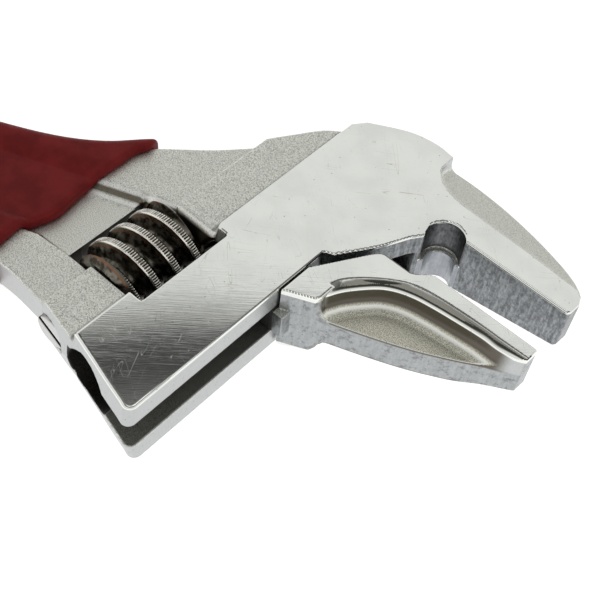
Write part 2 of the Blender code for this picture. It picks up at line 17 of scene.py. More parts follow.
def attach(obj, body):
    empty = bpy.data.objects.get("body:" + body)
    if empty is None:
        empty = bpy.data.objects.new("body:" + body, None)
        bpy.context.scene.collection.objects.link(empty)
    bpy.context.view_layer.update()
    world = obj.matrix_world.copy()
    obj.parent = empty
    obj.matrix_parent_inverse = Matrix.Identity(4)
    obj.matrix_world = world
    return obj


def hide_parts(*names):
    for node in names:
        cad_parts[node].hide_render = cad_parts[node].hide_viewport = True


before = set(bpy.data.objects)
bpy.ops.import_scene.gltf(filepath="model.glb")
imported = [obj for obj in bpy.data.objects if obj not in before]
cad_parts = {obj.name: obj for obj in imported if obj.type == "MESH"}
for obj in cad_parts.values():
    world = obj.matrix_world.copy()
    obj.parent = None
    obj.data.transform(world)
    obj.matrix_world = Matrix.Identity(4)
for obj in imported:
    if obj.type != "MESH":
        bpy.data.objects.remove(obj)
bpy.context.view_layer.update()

JAW_ANGLE = math.radians(22.5)
HEAD_ORIGIN = (41.0, -5.3, 7.0)
HEAD_FRAME = Matrix.Translation(Vector(HEAD_ORIGIN) / 1000) @ Matrix.Rotation(-JAW_ANGLE, 4, "Z")

# Levels and steps of the forging
HALF_HEAD = 7.0
HALF_BAND = 5.3
HALF_BLOCK = 3.2
BAND_LINE = -14.6
BLOCK_LINE = -22.9
EDGE = 0.30
HEEL_DRAFT = 0.15
RIM = 0.42
STEP_FILLET = 0.45
CHANNEL_DEPTH = 1.2

# Jaws, slot and bores
FIXED_FACE = 26.5
GROOVE_X = 11.1
GROOVE_Y = 25.0
GROOVE_RADIUS = 3.1
LINING = (11.3, 24.9, 2.45)
SLIDING_FACE = 18.1
TAPER = (14.0 - 8.4) / 31.8
SCOOP_SLOPE = 2.5 / 7.0
HALF_SLOT = 2.75
SLOT_END = 22.5
BORE_X = -11.0
BORE_RADIUS = 5.0
BORE_END = 25.5
RACK_RADIUS = 4.7
WINDOW = (-28.5, -12.1, -15.6, 0.4)

# Worm, pin, handle and grip
WORM_X = -20.9
WORM_RADIUS = 7.05
WORM_ROOT = 4.5
WORM_PITCH = 4.0
WORM_THREAD_Y = -11.8
WORM_ENDS = (-15.3, 0.1)
HALF_CREST = 0.6
FLANK = math.tan(math.radians(20))
KNURLS = 104
KNURL_DEPTH = 0.25
HANG_HOLE = (-72.8, -0.5, 4.2)
PIN_SLOT = (0.57, 0.82)
GRIP_SKIN = 1.6
HANDLE_END = -82.5 + GRIP_SKIN
END_RADIUS = 11.0

# Outlines of the forging in the row frame, from the grip to the jaws
BACK_EDGE = [
    (-50, 8.9), (-32, 8.9), (-14, 9.4), (-3, 10.4), (4.8, 12.5), (11.8, 16.1), (20.6, 19.7),
    (28.5, 23.9), (36.1, 30.0), (42.5, 32.3), (49.5, 33.1), (54.4, 32.2), (57.7, 30.5),
    (62.8, 28.3), (68.3, 25.1), (73.8, 20.9), (78.7, 16.3), (81.2, 13.2),
]
FRONT_EDGE = [
    (11.0, -19.2), (6.8, -16.9), (0.6, -14.2), (-8.0, -12.1), (-18.0, -10.5),
    (-32.0, -9.9), (-50.0, -9.9),
]
GRIP_MOUTH = [
    (12.3, 20.0), (11.6, 15.4), (9.9, 13.2), (8.6, 10.0), (6.7, 5.7), (5.5, 2.6),
    (4.2, -2.4), (2.1, -5.4), (0.6, -7.3), (-0.4, -10.7), (-2.0, -18.0),
]


def to_row(x, y):
    """From the head frame to the row frame, in the plane."""
    c, s = math.cos(JAW_ANGLE), math.sin(JAW_ANGLE)
    return HEAD_ORIGIN[0] + c * x + s * y, HEAD_ORIGIN[1] - s * x + c * y


def to_head(x, y):
    """From the row frame to the head frame, in the plane."""
    c, s = math.cos(JAW_ANGLE), math.sin(JAW_ANGLE)
    x, y = x - HEAD_ORIGIN[0], y - HEAD_ORIGIN[1]
    return c * x - s * y, s * x + c * y


def smooth_run(points, steps=6):
    """A soft line through the points, as a Catmull-Rom curve."""
    p = np.array([points[0], *points, points[-1]], float)
    line = []
    for before, a, b, after in zip(p, p[1:], p[2:], p[3:]):
        for t in np.arange(steps) / steps:
            squared = (2 * before - 5 * a + 4 * b - after) * t**2
            cubed = (3 * a - before - 3 * b + after) * t**3
            line.append(tuple((2 * a + (b - before) * t + (squared + cubed)) / 2))
    return [*line, tuple(points[-1])]


def arc(centre, radius, start, end, steps=40):
    """Points along a circle, between two angles in degrees."""
    angles = np.radians(np.linspace(start, end, steps + 1))
    return [(centre[0] + radius * math.cos(a), centre[1] + radius * math.sin(a)) for a in angles]


def outline_field(outline):
    """The signed distance to a closed outline in the plane."""
    points = np.array(outline, float)
    sides = list(zip(points, np.roll(points, -1, axis=0)))

    def field(x, y):
        x, y = np.broadcast_arrays(x, y)
        nearest = np.full(x.shape, 1e12)
        inside = np.zeros(x.shape, bool)
        for (ax, ay), (bx, by) in sides:
            ex, ey = bx - ax, by - ay
            length = ex * ex + ey * ey
            if length < 1e-12:
                continue
            t = np.clip(((x - ax) * ex + (y - ay) * ey) / length, 0, 1)
            nearest = np.minimum(nearest, (x - ax - t * ex) ** 2 + (y - ay - t * ey) ** 2)
            if ay != by:
                inside ^= ((ay > y) != (by > y)) & (x < ex * (y - ay) / ey + ax)
        return np.where(inside, -1.0, 1.0) * np.sqrt(nearest)

    return field


def box_field(x, y, low_x, high_x, low_y, high_y, corner=0.0):
    """The signed distance to a rectangle with round corners."""
    dx = np.abs(x - (low_x + high_x) / 2) - (high_x - low_x) / 2 + corner
    dy = np.abs(y - (low_y + high_y) / 2) - (high_y - low_y) / 2 + corner
    return np.minimum(np.maximum(dx, dy), 0) + np.hypot(np.maximum(dx, 0), np.maximum(dy, 0)) - corner


def both(a, b, radius):
    """Where both solids are, with a round edge."""
    return np.minimum(np.maximum(a, b), -radius) + np.hypot(
        np.maximum(a + radius, 0), np.maximum(b + radius, 0)
    )


def either(a, b, radius):
    """Two solids joined, with a fillet between them."""
    return np.maximum(np.minimum(a, b), radius) - np.hypot(
        np.maximum(radius - a, 0), np.maximum(radius - b, 0)
    )


def ramp(value, start, end):
    """Rises softly from 0 to 1 between start and end."""
    t = np.clip((value - start) / (end - start), 0, 1)
    return t * t * (3 - 2 * t)


# Plane fields

round_end = arc((HANDLE_END + END_RADIUS, HANG_HOLE[1]), END_RADIUS, 105, 255)
block_back = [p for p in BACK_EDGE if to_head(*p)[0] < BLOCK_LINE + 1.5]
block_front = [p for p in FRONT_EDGE if to_head(*p)[0] < BLOCK_LINE + 1.5]
block_outline = (
    smooth_run([round_end[0], *block_back])[::-1]
    + round_end[1:-1]
    + smooth_run([*block_front, round_end[-1]])[::-1]
    + [to_row(-18.0, -24.0), to_row(-18.0, 25.0)]
)
BLOCK = outline_field(block_outline)

band_right = BAND_LINE + 1.5
BAND = outline_field(
    [(BLOCK_LINE, -24.2), (-17.9, -25.2), (band_right, -26.0), (band_right, 33.0)]
    + smooth_run([(-14.8, 32.6), (-17.8, 30.0), (-20.3, 26.1), (BLOCK_LINE, 21.8)])
)

groove_exit = math.degrees(math.asin((FIXED_FACE - GROOVE_Y) / GROOVE_RADIUS))
head_back = [to_head(*p) for p in BACK_EDGE[9:]]
head_back = [p for p in smooth_run(head_back) if p[0] > BAND_LINE + 1.0]
HEAD = outline_field(
    [(BAND_LINE, -25.7), *smooth_run([(-10.0, -26.8), (-6.0, -27.8), (-2.5, -28.6)], 4)]
    + arc((-1.3, -27.6), 1.3, -95, 0, 12)
    + [(0.0, 9.6), *smooth_run([(1.4, 10.3), (5.0, 16.0), (7.4, 21.2)], 4)]
    + arc((GROOVE_X, GROOVE_Y), GROOVE_RADIUS, 218, groove_exit)
    + [(32.3, FIXED_FACE), (32.7, 27.0), (32.8, 29.3), (32.2, 30.6)]
    + head_back[::-1]
    + [(BAND_LINE, 33.0)]
)
scoop_edge = [(1.8, 39.0), (2.0, 36.0), (3.5, 34.0), (5.3, 32.8), (8.5, 31.8), (14.9, 31.5), (22.2, 31.2)]
SCOOP = outline_field(smooth_run(scoop_edge) + [(29.5, 30.6), (36.0, 30.0), (36.0, 46.0), (1.8, 46.0)])
CHANNEL_LOWER = outline_field(
    [(-60, 20), (-60, -6.6), (-10.0, -6.9), (3.2, -6.95), (9.6, -9.0), (40, -19), (40, 20)]
)
MOUTH = outline_field([(-100, 40), (-100, -40), *smooth_run(GRIP_MOUTH[::-1]), (16.5, 40)])

SHOULDER = [
    (0.3, -0.1), (0.3, 5.9), *smooth_run([(5.5, 14.9), (6.0, 15.5), (6.8, 15.9)], 3), (11.6, 15.95),
    *smooth_run([(12.2, 16.3), (13.4, 17.4), (14.5, SLIDING_FACE)], 3),
]
RIDGE = smooth_run(
    [(33.1, 15.1), (28.9, 14.5), (25.7, 14.5), (20.9, 14.0), (17.7, 13.6), (14.5, 13.0), (11.7, 11.9),
     (9.5, 10.2), (6.8, 6.8), (5.45, 4.1), (4.6, 2.4)]
)
JAW_TOP = outline_field([*SHOULDER, (32.8, SLIDING_FACE), (33.1, 17.8), *RIDGE])
web_back = [(32.2, 15.2), (28.4, 13.4), (24.8, 11.2), (19.2, 8.1), (13.2, 5.4), (7.2, 3.0), (5.1, 2.2)]
JAW_WEB = outline_field(
    [*SHOULDER, (32.8, SLIDING_FACE), (33.0, 17.8), (32.9, 15.6), *smooth_run(web_back, 3)]
)
CORNER = outline_field([(0.3, -0.1), (0.3, 6.0), (5.4, 6.0), (5.4, 3.2), (5.0, 2.2)])


# Solid fields


def handle_field(x, y, z, depth=CHANNEL_DEPTH):
    """The thin block under the grip, with the recess along both its faces."""
    row_x, row_y = to_row(x, y)
    level = np.abs(z)
    block = both(BLOCK(row_x, row_y), level - HALF_BLOCK, RIM)
    floor = HALF_BLOCK - depth
    # The upper wall of the recess is a long ramp, and the lower one is steep.
    slope = 0.66
    upper = (row_y - 6.2 + (HALF_BLOCK - level) / slope) * slope / math.hypot(1, slope)
    recess = both(both(upper, CHANNEL_LOWER(row_x, row_y), 0.3), floor - level, 0.8)
    return both(block, -recess, 0.5)


def body_field(x, y, z):
    """The head, its two steps and the fixed jaw, with every hole."""
    level = np.abs(z)
    drafted = y + HEEL_DRAFT * (HALF_HEAD - level) * ramp(-y, 14.0, 20.0)
    rim = EDGE + (RIM - EDGE) * ramp(np.abs(y - 2.0), 22.0, 28.0)
    head = both(HEAD(x, drafted), level - HALF_HEAD, rim)
    band = both(BAND(x, drafted), level - HALF_BAND, RIM)
    metal = either(head, band, STEP_FILLET)
    metal = either(metal, handle_field(x, y, z), STEP_FILLET)

    hinge = HALF_HEAD - np.where(z > 0, 0.0, 2.2)
    fall = (hinge - SCOOP_SLOPE * (y - 31.0) - level) / math.hypot(1, SCOOP_SLOPE)
    metal = both(metal, -both(SCOOP(x, y), fall, 1.3), 0.25)
    # The groove's lower lining is narrower than its mouth.
    from_groove = np.hypot(x - GROOVE_X, y - GROOVE_Y)
    in_wall = 0.3 + 0.549 * (x - 7.9) - 0.837 * (y - 22.5)
    lining = both(np.maximum(np.maximum(from_groove - GROOVE_RADIUS - 0.3, in_wall), y - 29.0), z - 0.9, 0.1)
    lining_x, lining_y, lining_radius = LINING
    metal = np.minimum(metal, both(lining, lining_radius - np.hypot(x - lining_x, y - lining_y), 0.2))
    under = (-HALF_HEAD + TAPER * (x - 1.0) - z) / math.hypot(1, TAPER)
    metal = both(metal, under, EDGE)

    slot = both(np.maximum(BORE_X - x, y - SLOT_END), level - HALF_SLOT, 0.1)
    bore = np.maximum(np.hypot(x - BORE_X, z) - BORE_RADIUS, y - BORE_END)
    metal = both(metal, -np.minimum(slot, bore), EDGE)
    leaning = y - 0.3 * np.maximum(level - 2.0, 0) * (y > -6.0)
    window = box_field(x, leaning, *WINDOW, 0.6)
    soft_edge = 0.18 + 0.85 * ramp(y, -0.8, -0.2) * ramp(-x, 13.5, 14.6)
    metal = both(metal, -window, soft_edge)
    pin = np.hypot(x - WORM_X, z)
    pin_hole = np.maximum(pin - 3.15, y + 15.0)
    shank = np.maximum(pin - 1.95, np.maximum(-y - 1.0, y - 5.5))
    return both(metal, -np.minimum(pin_hole, shank), 0.15)


def jaw_field(x, y, z):
    """The sliding jaw, its neck and the round toothed rack."""
    level = np.abs(z)
    ridge_side = ramp(15.6 - y + 0.8 * (x - 14.0) * (x < 14.0), -0.4, 0.9) * ramp(x, 4.2, 5.6)
    roll = 0.6 * ridge_side + EDGE * (1 - ridge_side)
    top = JAW_TOP(x, y)
    falling = level + 0.35 * ramp(top, -2.0, 0.2) * ridge_side
    rolled = both(top, falling - HALF_HEAD, roll)
    block = np.maximum(rolled, top)
    corner = both(CORNER(x, y), level - HALF_HEAD, EDGE)
    web = both(JAW_WEB(x, y), level - HALF_SLOT, EDGE)
    block = either(np.minimum(block, corner), web, 2.4)
    block = np.maximum(block, JAW_WEB(x, y) - 0.02)
    under = (-HALF_HEAD + TAPER * (x - 1.0) - z) / math.hypot(1, TAPER)
    block = both(block, under, EDGE)
    neck = np.maximum(box_field(x, y, BORE_X, 2.0, -1.2, 9.2), level - 2.45)
    bar = both(np.hypot(x - BORE_X, z) - RACK_RADIUS, np.abs(y - 0.6) - 20.6, 0.4)
    tooth = y + z * WORM_PITCH / (math.tau * WORM_RADIUS) - WORM_THREAD_Y - WORM_PITCH / 2
    along = np.abs(tooth - WORM_PITCH * np.round(tooth / WORM_PITCH))
    depth = x - (BORE_X - RACK_RADIUS)
    gap = np.maximum(along - HALF_CREST - 0.30 - (2.2 - depth) * FLANK, depth - 2.2)
    bar = both(bar, -gap, 0.12)
    return np.minimum(np.minimum(block, neck), bar)


def worm_field(x, y, z):
    """One knurled thread round a core, hollow for its pin and spring."""
    radius = np.hypot(x - WORM_X, z)
    turn = np.arctan2(z, WORM_X - x) / math.tau
    phase = (y - WORM_THREAD_Y) / WORM_PITCH - turn
    along = np.abs(phase - np.round(phase)) * WORM_PITCH
    across = (phase - np.round(phase)) * WORM_PITCH
    # The knurl fills the crest but for a smooth worn line along its lower edge.
    knurled = ramp(across, -0.40, -0.25)
    rib = 0.5 - 0.5 * np.cos(KNURLS * math.tau * turn)
    crest = WORM_RADIUS - KNURL_DEPTH * knurled * rib
    flank = (along - HALF_CREST - (WORM_RADIUS - radius) * FLANK) * math.cos(math.atan(FLANK))
    thread = both(flank, radius - crest, 0.1)
    solid = either(thread, radius - WORM_ROOT, 0.4)
    low, high = WORM_ENDS
    solid = both(solid, np.maximum(low - y, y - high), 0.2)
    solid = both(solid, (radius - WORM_RADIUS + low + 1.5 - y) * math.sqrt(0.5), 0.15)
    hollow = np.minimum(radius - 2.08, np.maximum(radius - 3.18, high - 5.2 - y))
    return both(solid, -hollow, 0.15)


def pin_field(x, y, z):
    """The screw pin with its slotted head."""
    radius = np.hypot(x - WORM_X, z)
    head = both(radius - 2.95, np.abs(y + 20.2) - 5.2, 0.25)
    shank = both(radius - 1.8, np.abs(y + 6.0) - 11.2, 0.3)
    across = PIN_SLOT[0] * (x - WORM_X) + PIN_SLOT[1] * z
    slot = np.maximum(np.abs(across) - 0.5, y + 24.0)
    return both(np.minimum(head, shank), -slot, 0.12)


def grip_field(x, y, z):
    """Vinyl dipped over the handle: the handle's own surface moved out, cut at a soft mouth."""
    row_x, row_y = to_row(x, y)
    outside = handle_field(x, y, z, 0.35) - GRIP_SKIN
    skin = both(outside, MOUTH(row_x, row_y), 0.9)
    skin = both(skin, 0.12 - handle_field(x, y, z), 0.1)
    hole = HANG_HOLE[2] - np.hypot(row_x - HANG_HOLE[0], row_y - HANG_HOLE[1])
    return both(skin, hole, 0.8)


def core_field(x, y, z):
    """The handle's metal under the grip, behind the part that body_field makes."""
    row_x, row_y = to_row(x, y)
    hole = HANG_HOLE[2] - np.hypot(row_x - HANG_HOLE[0], row_y - HANG_HOLE[1])
    return np.maximum(np.maximum(handle_field(x, y, z) + 0.05, hole), row_x + 7.0)


def front_field(x, y, z):
    row_x, _ = to_row(x, y)
    return np.maximum(body_field(x, y, z), -7.5 - row_x)


# From fields to meshes


def surface_net(field, low, high, cell):
    """Points and quads of the surface inside a box, one point per cell that it crosses."""
    axes = [np.arange(a - cell, b + 2 * cell, cell) + 0.013 for a, b in zip(low, high)]
    x, y, z = np.meshgrid(*axes, indexing="ij", sparse=True)
    value = np.broadcast_to(field(x, y, z), tuple(len(a) for a in axes)).astype(np.float32)
    inside = value < 0
    size = [n - 1 for n in value.shape]

    def corner_of(grid, i, j, k):
        return grid[i : i + size[0], j : j + size[1], k : k + size[2]]

    filled = sum(corner_of(inside, *c).astype(np.uint8) for c in itertools.product((0, 1), repeat=3))
    mixed = (filled > 0) & (filled < 8)
    number = np.full(mixed.shape, -1, np.int64)
    number[mixed] = np.arange(mixed.sum())
    cells = np.argwhere(mixed)
    total = np.zeros((len(cells), 3))
    hits = np.zeros((len(cells), 1))
    for axis in range(3):
        step = np.eye(3, dtype=int)[axis]
        for start in itertools.product((0, 1), repeat=3):
            if start[axis]:
                continue
            first = cells + start
            second = first + step
            a, b = value[tuple(first.T)], value[tuple(second.T)]
            crossed = (a < 0) != (b < 0)
            share = np.where(crossed, a / np.where(crossed, a - b, 1), 0)
            total += crossed[:, None] * (first + step * share[:, None])
            hits += crossed[:, None]
    points = total / hits * cell + np.array([a[0] for a in axes])

    quads = []
    for axis in range(3):
        u, v = (axis + 1) % 3, (axis + 2) % 3
        ahead = [slice(None)] * 3
        behind = [slice(None)] * 3
        ahead[axis], behind[axis] = slice(1, None), slice(None, -1)
        a, b = inside[tuple(behind)], inside[tuple(ahead)]
        spots = np.argwhere(a != b)
        solid_behind = a[tuple(spots.T)]
        back_u, back_v = np.eye(3, dtype=int)[u], np.eye(3, dtype=int)[v]
        ring = [number[tuple((spots - s).T)] for s in (back_u + back_v, back_v, 0 * back_u, back_u)]
        ring = np.stack(ring, axis=1)
        quads.append(np.where(solid_behind[:, None], ring, ring[:, ::-1]))
    return points, np.concatenate(quads)


def slope_of(field, points, step=0.01):
    """The field at each point, and its gradient there."""
    here = field(*points.T)
    slope = np.stack([field(*(points + d).T) - here for d in np.eye(3) * step], axis=1) / step
    return here, slope


def as_piece(name, field, low, high, cell, body, keep=1.0):
    """A field made a mesh object in the row frame, with as many of its faces as keep says."""
    points, quads = surface_net(field, low, high, cell)
    for _ in range(2):
        here, slope = slope_of(field, points)
        length = np.maximum((slope**2).sum(axis=1, keepdims=True), 0.2)
        move = here[:, None] * slope / length
        points -= np.clip(move, -0.5 * cell, 0.5 * cell)
    mesh = bpy.data.meshes.new(name)
    mesh.from_pydata(points / 1000, [], quads.tolist())
    mesh.transform(HEAD_FRAME)
    mesh.update()
    piece = bpy.data.objects.new(name, mesh)
    bpy.context.scene.collection.objects.link(piece)
    if keep < 1.0:
        thin = piece.modifiers.new("thin", "DECIMATE")
        thin.ratio = keep
        graph = bpy.context.evaluated_depsgraph_get()
        mesh = bpy.data.meshes.new_from_object(piece.evaluated_get(graph))
        piece.modifiers.clear()
        piece.data = mesh
    shade_by_field(mesh, field)
    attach(piece, body)
    return piece


def shade_by_field(mesh, field, limit=math.radians(24)):
    """Gives each face corner the field's own normal, unless the face turns away from it at an edge."""
    count = len(mesh.vertices)
    spots = np.empty(count * 3)
    mesh.vertices.foreach_get("co", spots)
    back = np.array(HEAD_FRAME.inverted())
    turn = np.array(HEAD_FRAME)[:3, :3]
    spots = (spots.reshape(-1, 3) @ back[:3, :3].T + back[:3, 3]) * 1000
    _, slope = slope_of(field, spots)
    slope /= np.maximum(np.linalg.norm(slope, axis=1, keepdims=True), 1e-9)
    slope = slope @ turn.T
    mesh.polygons.foreach_set("use_smooth", np.ones(len(mesh.polygons), bool))
    face_normals = np.empty(len(mesh.polygons) * 3)
    mesh.polygon_normals.foreach_get("vector", face_normals)
    face_normals = face_normals.reshape(-1, 3)
    sizes = np.empty(len(mesh.polygons), int)
    mesh.polygons.foreach_get("loop_total", sizes)
    corners = np.empty(len(mesh.loops), int)
    mesh.loops.foreach_get("vertex_index", corners)
    flat = np.repeat(face_normals, sizes, axis=0)
    soft = slope[corners]
    kept = (flat * soft).sum(axis=1) > math.cos(limit)
    normals = np.where(kept[:, None], soft, flat)
    mesh.normals_split_custom_set(normals.tolist())


# Materials


class Paint:
    """One material's nodes. x, y and z are the head-frame position in millimetres."""

    def __init__(self, name, metallic):
        self.material = bpy.data.materials.new(name)
        self.material.use_nodes = True
        self.tree = self.material.node_tree
        self.shader = self.tree.nodes["Principled BSDF"]
        self.shader.inputs["Metallic"].default_value = metallic
        place = self.node("ShaderNodeMapping")
        back = HEAD_FRAME.inverted()
        place.inputs["Scale"].default_value = (1000, 1000, 1000)
        place.inputs["Rotation"].default_value = back.to_euler()
        place.inputs["Location"].default_value = back.translation * 1000
        self.link(self.node("ShaderNodeTexCoord").outputs["Object"], place.inputs["Vector"])
        self.spot = place.outputs["Vector"]
        parts = self.node("ShaderNodeSeparateXYZ")
        self.link(self.spot, parts.inputs[0])
        self.x, self.y, self.z = parts.outputs
        self.level = self.math("ABSOLUTE", self.z)
        normal = self.node("ShaderNodeSeparateXYZ")
        self.link(self.node("ShaderNodeNewGeometry").outputs["Normal"], normal.inputs[0])
        self.upright = self.math("ABSOLUTE", normal.outputs["Z"])

    def node(self, kind):
        return self.tree.nodes.new(kind)

    def link(self, value, socket):
        if isinstance(value, bpy.types.NodeSocket):
            self.tree.links.new(value, socket)
        else:
            socket.default_value = value

    def math(self, operation, a, b=0.0, c=0.0):
        node = self.node("ShaderNodeMath")
        node.operation = operation
        for value, socket in zip((a, b, c), node.inputs):
            self.link(value, socket)
        return node.outputs[0]

    def product(self, *values):
        result = values[0]
        for value in values[1:]:
            result = self.math("MULTIPLY", result, value)
        return result

    def ramp(self, value, start, end, low=0.0, high=1.0):
        node = self.node("ShaderNodeMapRange")
        node.interpolation_type = "SMOOTHSTEP"
        for socket, number in zip(list(node.inputs)[:5], (value, start, end, low, high)):
            self.link(number, socket)
        return node.outputs[0]

    def between(self, value, low, high, soft=0.15):
        return self.product(self.ramp(value, low, low + soft), self.ramp(value, high, high - soft))

    def invert(self, value):
        return self.math("SUBTRACT", 1.0, value)

    def stretched(self, scale, turn=0.0, shift=(0, 0, 0)):
        """The position turned about z, then scaled along each axis."""
        turned = self.node("ShaderNodeMapping")
        turned.vector_type = "POINT"
        turned.inputs["Rotation"].default_value = (0, 0, turn)
        turned.inputs["Location"].default_value = shift
        self.link(self.spot, turned.inputs["Vector"])
        scaled = self.node("ShaderNodeVectorMath")
        scaled.operation = "MULTIPLY"
        self.link(turned.outputs[0], scaled.inputs[0])
        scaled.inputs[1].default_value = scale
        return scaled.outputs[0]

    def noise(self, scale, detail=2.0, vector=None, roughness=0.5):
        node = self.node("ShaderNodeTexNoise")
        self.link(vector or self.spot, node.inputs["Vector"])
        node.inputs["Scale"].default_value = scale
        node.inputs["Detail"].default_value = detail
        node.inputs["Roughness"].default_value = roughness
        return node.outputs["Fac"]

    def mix(self, share, a, b):
        """A colour or a number between a and b."""
        colour = isinstance(a, tuple) or isinstance(b, tuple)
        colour = colour or getattr(a, "type", "") == "RGBA"
        node = self.node("ShaderNodeMix")
        node.data_type = "RGBA" if colour else "FLOAT"
        names = [s for s in node.inputs if s.enabled]
        self.link(share, names[0])
        for value, socket in zip((a, b), names[1:]):
            self.link((*value, 1.0) if isinstance(value, tuple) else value, socket)
        return [s for s in node.outputs if s.enabled][0]

    def scratches(self, scale, width, turn, shift, stretch=(0.25, 1.0, 1.0)):
        """Thin curved lines, where a stretched noise crosses its middle value."""
        fac = self.noise(scale, 1.0, self.stretched(stretch, turn, shift))
        off = self.math("ABSOLUTE", self.math("SUBTRACT", fac, 0.5))
        return self.ramp(off, width, 0.0)

    def specks(self, scale, size):
        """Small round spots, in about a third of the cells."""
        node = self.node("ShaderNodeTexVoronoi")
        self.link(self.spot, node.inputs["Vector"])
        node.inputs["Scale"].default_value = scale
        node.inputs["Randomness"].default_value = 1.0
        spread = self.node("ShaderNodeSeparateColor")
        self.link(node.outputs["Color"], spread.inputs[0])
        spots = self.ramp(node.outputs["Distance"], size, size * 0.4)
        return self.product(spots, self.ramp(spread.outputs[0], 0.62, 0.72))

    def finish(self, colour, roughness, height):
        """Sets the shader's colour, roughness and a bump of this height in millimetres."""
        self.link(colour, self.shader.inputs["Base Color"])
        self.link(roughness, self.shader.inputs["Roughness"])
        bump = self.node("ShaderNodeBump")
        bump.inputs["Distance"].default_value = 0.001
        self.link(height, bump.inputs["Height"])
        self.link(bump.outputs[0], self.shader.inputs["Normal"])
        return self.material


BRUSH_TURN = -math.radians(42.0)


def forged_metal(name, top, machined, painted_shade_mask, marks, cut_tones):
    """Chrome with three finishes: brushed on top, machined on its sides and sandblasted elsewhere."""
    paint = Paint(name, 1.0)
    top, machined, painted_shade_mask = top(paint), machined(paint), painted_shade_mask(paint)
    brush = paint.noise(1.0, 3.0, paint.stretched((0.10, 7.0, 1.0), BRUSH_TURN))
    fine = paint.noise(1.0, 2.0, paint.stretched((0.30, 22.0, 1.0), BRUSH_TURN, (3, 5, 0)))
    cloud = paint.noise(0.16, 3.0)
    grain = paint.noise(6.5, 4.0, roughness=0.7)
    mottle = paint.noise(1.0, 4.0, paint.stretched((3.0, 3.0, 1.1)), 0.65)
    streak = paint.noise(1.0, 3.0, paint.stretched((2.2, 2.2, 0.18), 0.3))
    side = paint.ramp(paint.upright, 0.62, 0.30)

    specks = paint.specks(0.95, 0.11)
    patches = paint.ramp(paint.noise(0.9, 6.0, roughness=0.75), 0.50, 0.62)
    rubbed = paint.ramp(paint.math("ADD", paint.product(mottle, 0.6), paint.product(streak, 0.4)), 0.34, 0.66)
    pits = paint.math("MAXIMUM", paint.specks(1.5, 0.22), paint.product(patches, 0.6))
    lines = paint.math(
        "MAXIMUM",
        paint.scratches(0.50, 0.004, 0.75, (11, 3, 0), (0.06, 1.0, 1.0)),
        paint.scratches(0.45, 0.004, -0.6, (2, 17, 0), (0.06, 1.0, 1.0)),
    )
    scratched = paint.noise(0.22, 1.0, paint.stretched((1, 1, 1), 0, (9, 9, 0)))
    lines = paint.product(lines, paint.ramp(scratched, 0.56, 0.62))

    polished = paint.mix(paint.ramp(cloud, 0.35, 0.7), (0.87, 0.885, 0.845), (0.80, 0.815, 0.78))
    polished = paint.mix(paint.math("MULTIPLY", specks, 0.8), polished, (0.16, 0.15, 0.12))
    polished = paint.mix(paint.math("MULTIPLY", lines, 0.45), polished, (0.36, 0.33, 0.24))
    sanded = paint.mix(paint.ramp(grain, 0.36, 0.56), (0.30, 0.305, 0.28), (0.89, 0.90, 0.83))
    plain = paint.mix(mottle, (0.44, 0.455, 0.455), (0.56, 0.575, 0.57))
    plain = paint.mix(paint.math("MULTIPLY", paint.specks(1.5, 0.2), 0.6), plain, (0.09, 0.09, 0.09))
    cut = paint.mix(rubbed, *cut_tones)
    cut = paint.mix(paint.math("MULTIPLY", pits, 0.7), cut, (0.045, 0.045, 0.045))

    colour = paint.mix(side, sanded, plain)
    colour = paint.mix(machined, colour, cut)
    colour = paint.mix(top, colour, polished)
    colour = marks(paint, colour, grain)
    # Painted shade: a nearly black tone, varied by the grain, laid where the shade mask is set.
    painted_shade_tone = paint.mix(paint.ramp(grain, 0.35, 0.75), (0.012, 0.012, 0.012), (0.07, 0.065, 0.055))
    colour = paint.mix(painted_shade_mask, colour, painted_shade_tone)
    rough = paint.mix(side, 0.40, 0.34)
    rough = paint.mix(machined, rough, paint.math("MULTIPLY_ADD", mottle, 0.2, 0.22))
    rough = paint.mix(top, rough, paint.math("MULTIPLY_ADD", brush, 0.05, 0.035))
    scuffs = paint.math(
        "MAXIMUM",
        paint.scratches(0.5, 0.006, 0.5, (31, 7, 0), (0.16, 1.0, 1.0)),
        paint.scratches(0.6, 0.005, 1.1, (5, 41, 0), (0.10, 1.0, 1.0)),
    )
    scuffed = paint.noise(0.3, 2.0, paint.stretched((1, 1, 1), 0, (40, 2, 0)))
    scuffs = paint.product(scuffs, paint.ramp(scuffed, 0.48, 0.56))
    rough = paint.mix(paint.product(scuffs, top), rough, 0.24)
    rough = paint.mix(painted_shade_mask, rough, 0.6)
    brushed = paint.math("ADD", paint.product(brush, 0.0030), paint.product(fine, 0.0010))
    height = paint.mix(side, paint.product(grain, 0.040), paint.product(mottle, 0.004))
    pitted = paint.math("MULTIPLY_ADD", mottle, 0.012, paint.product(pits, -0.02))
    height = paint.mix(machined, height, pitted)
    height = paint.mix(top, height, brushed)
    return paint.finish(colour, rough, height)


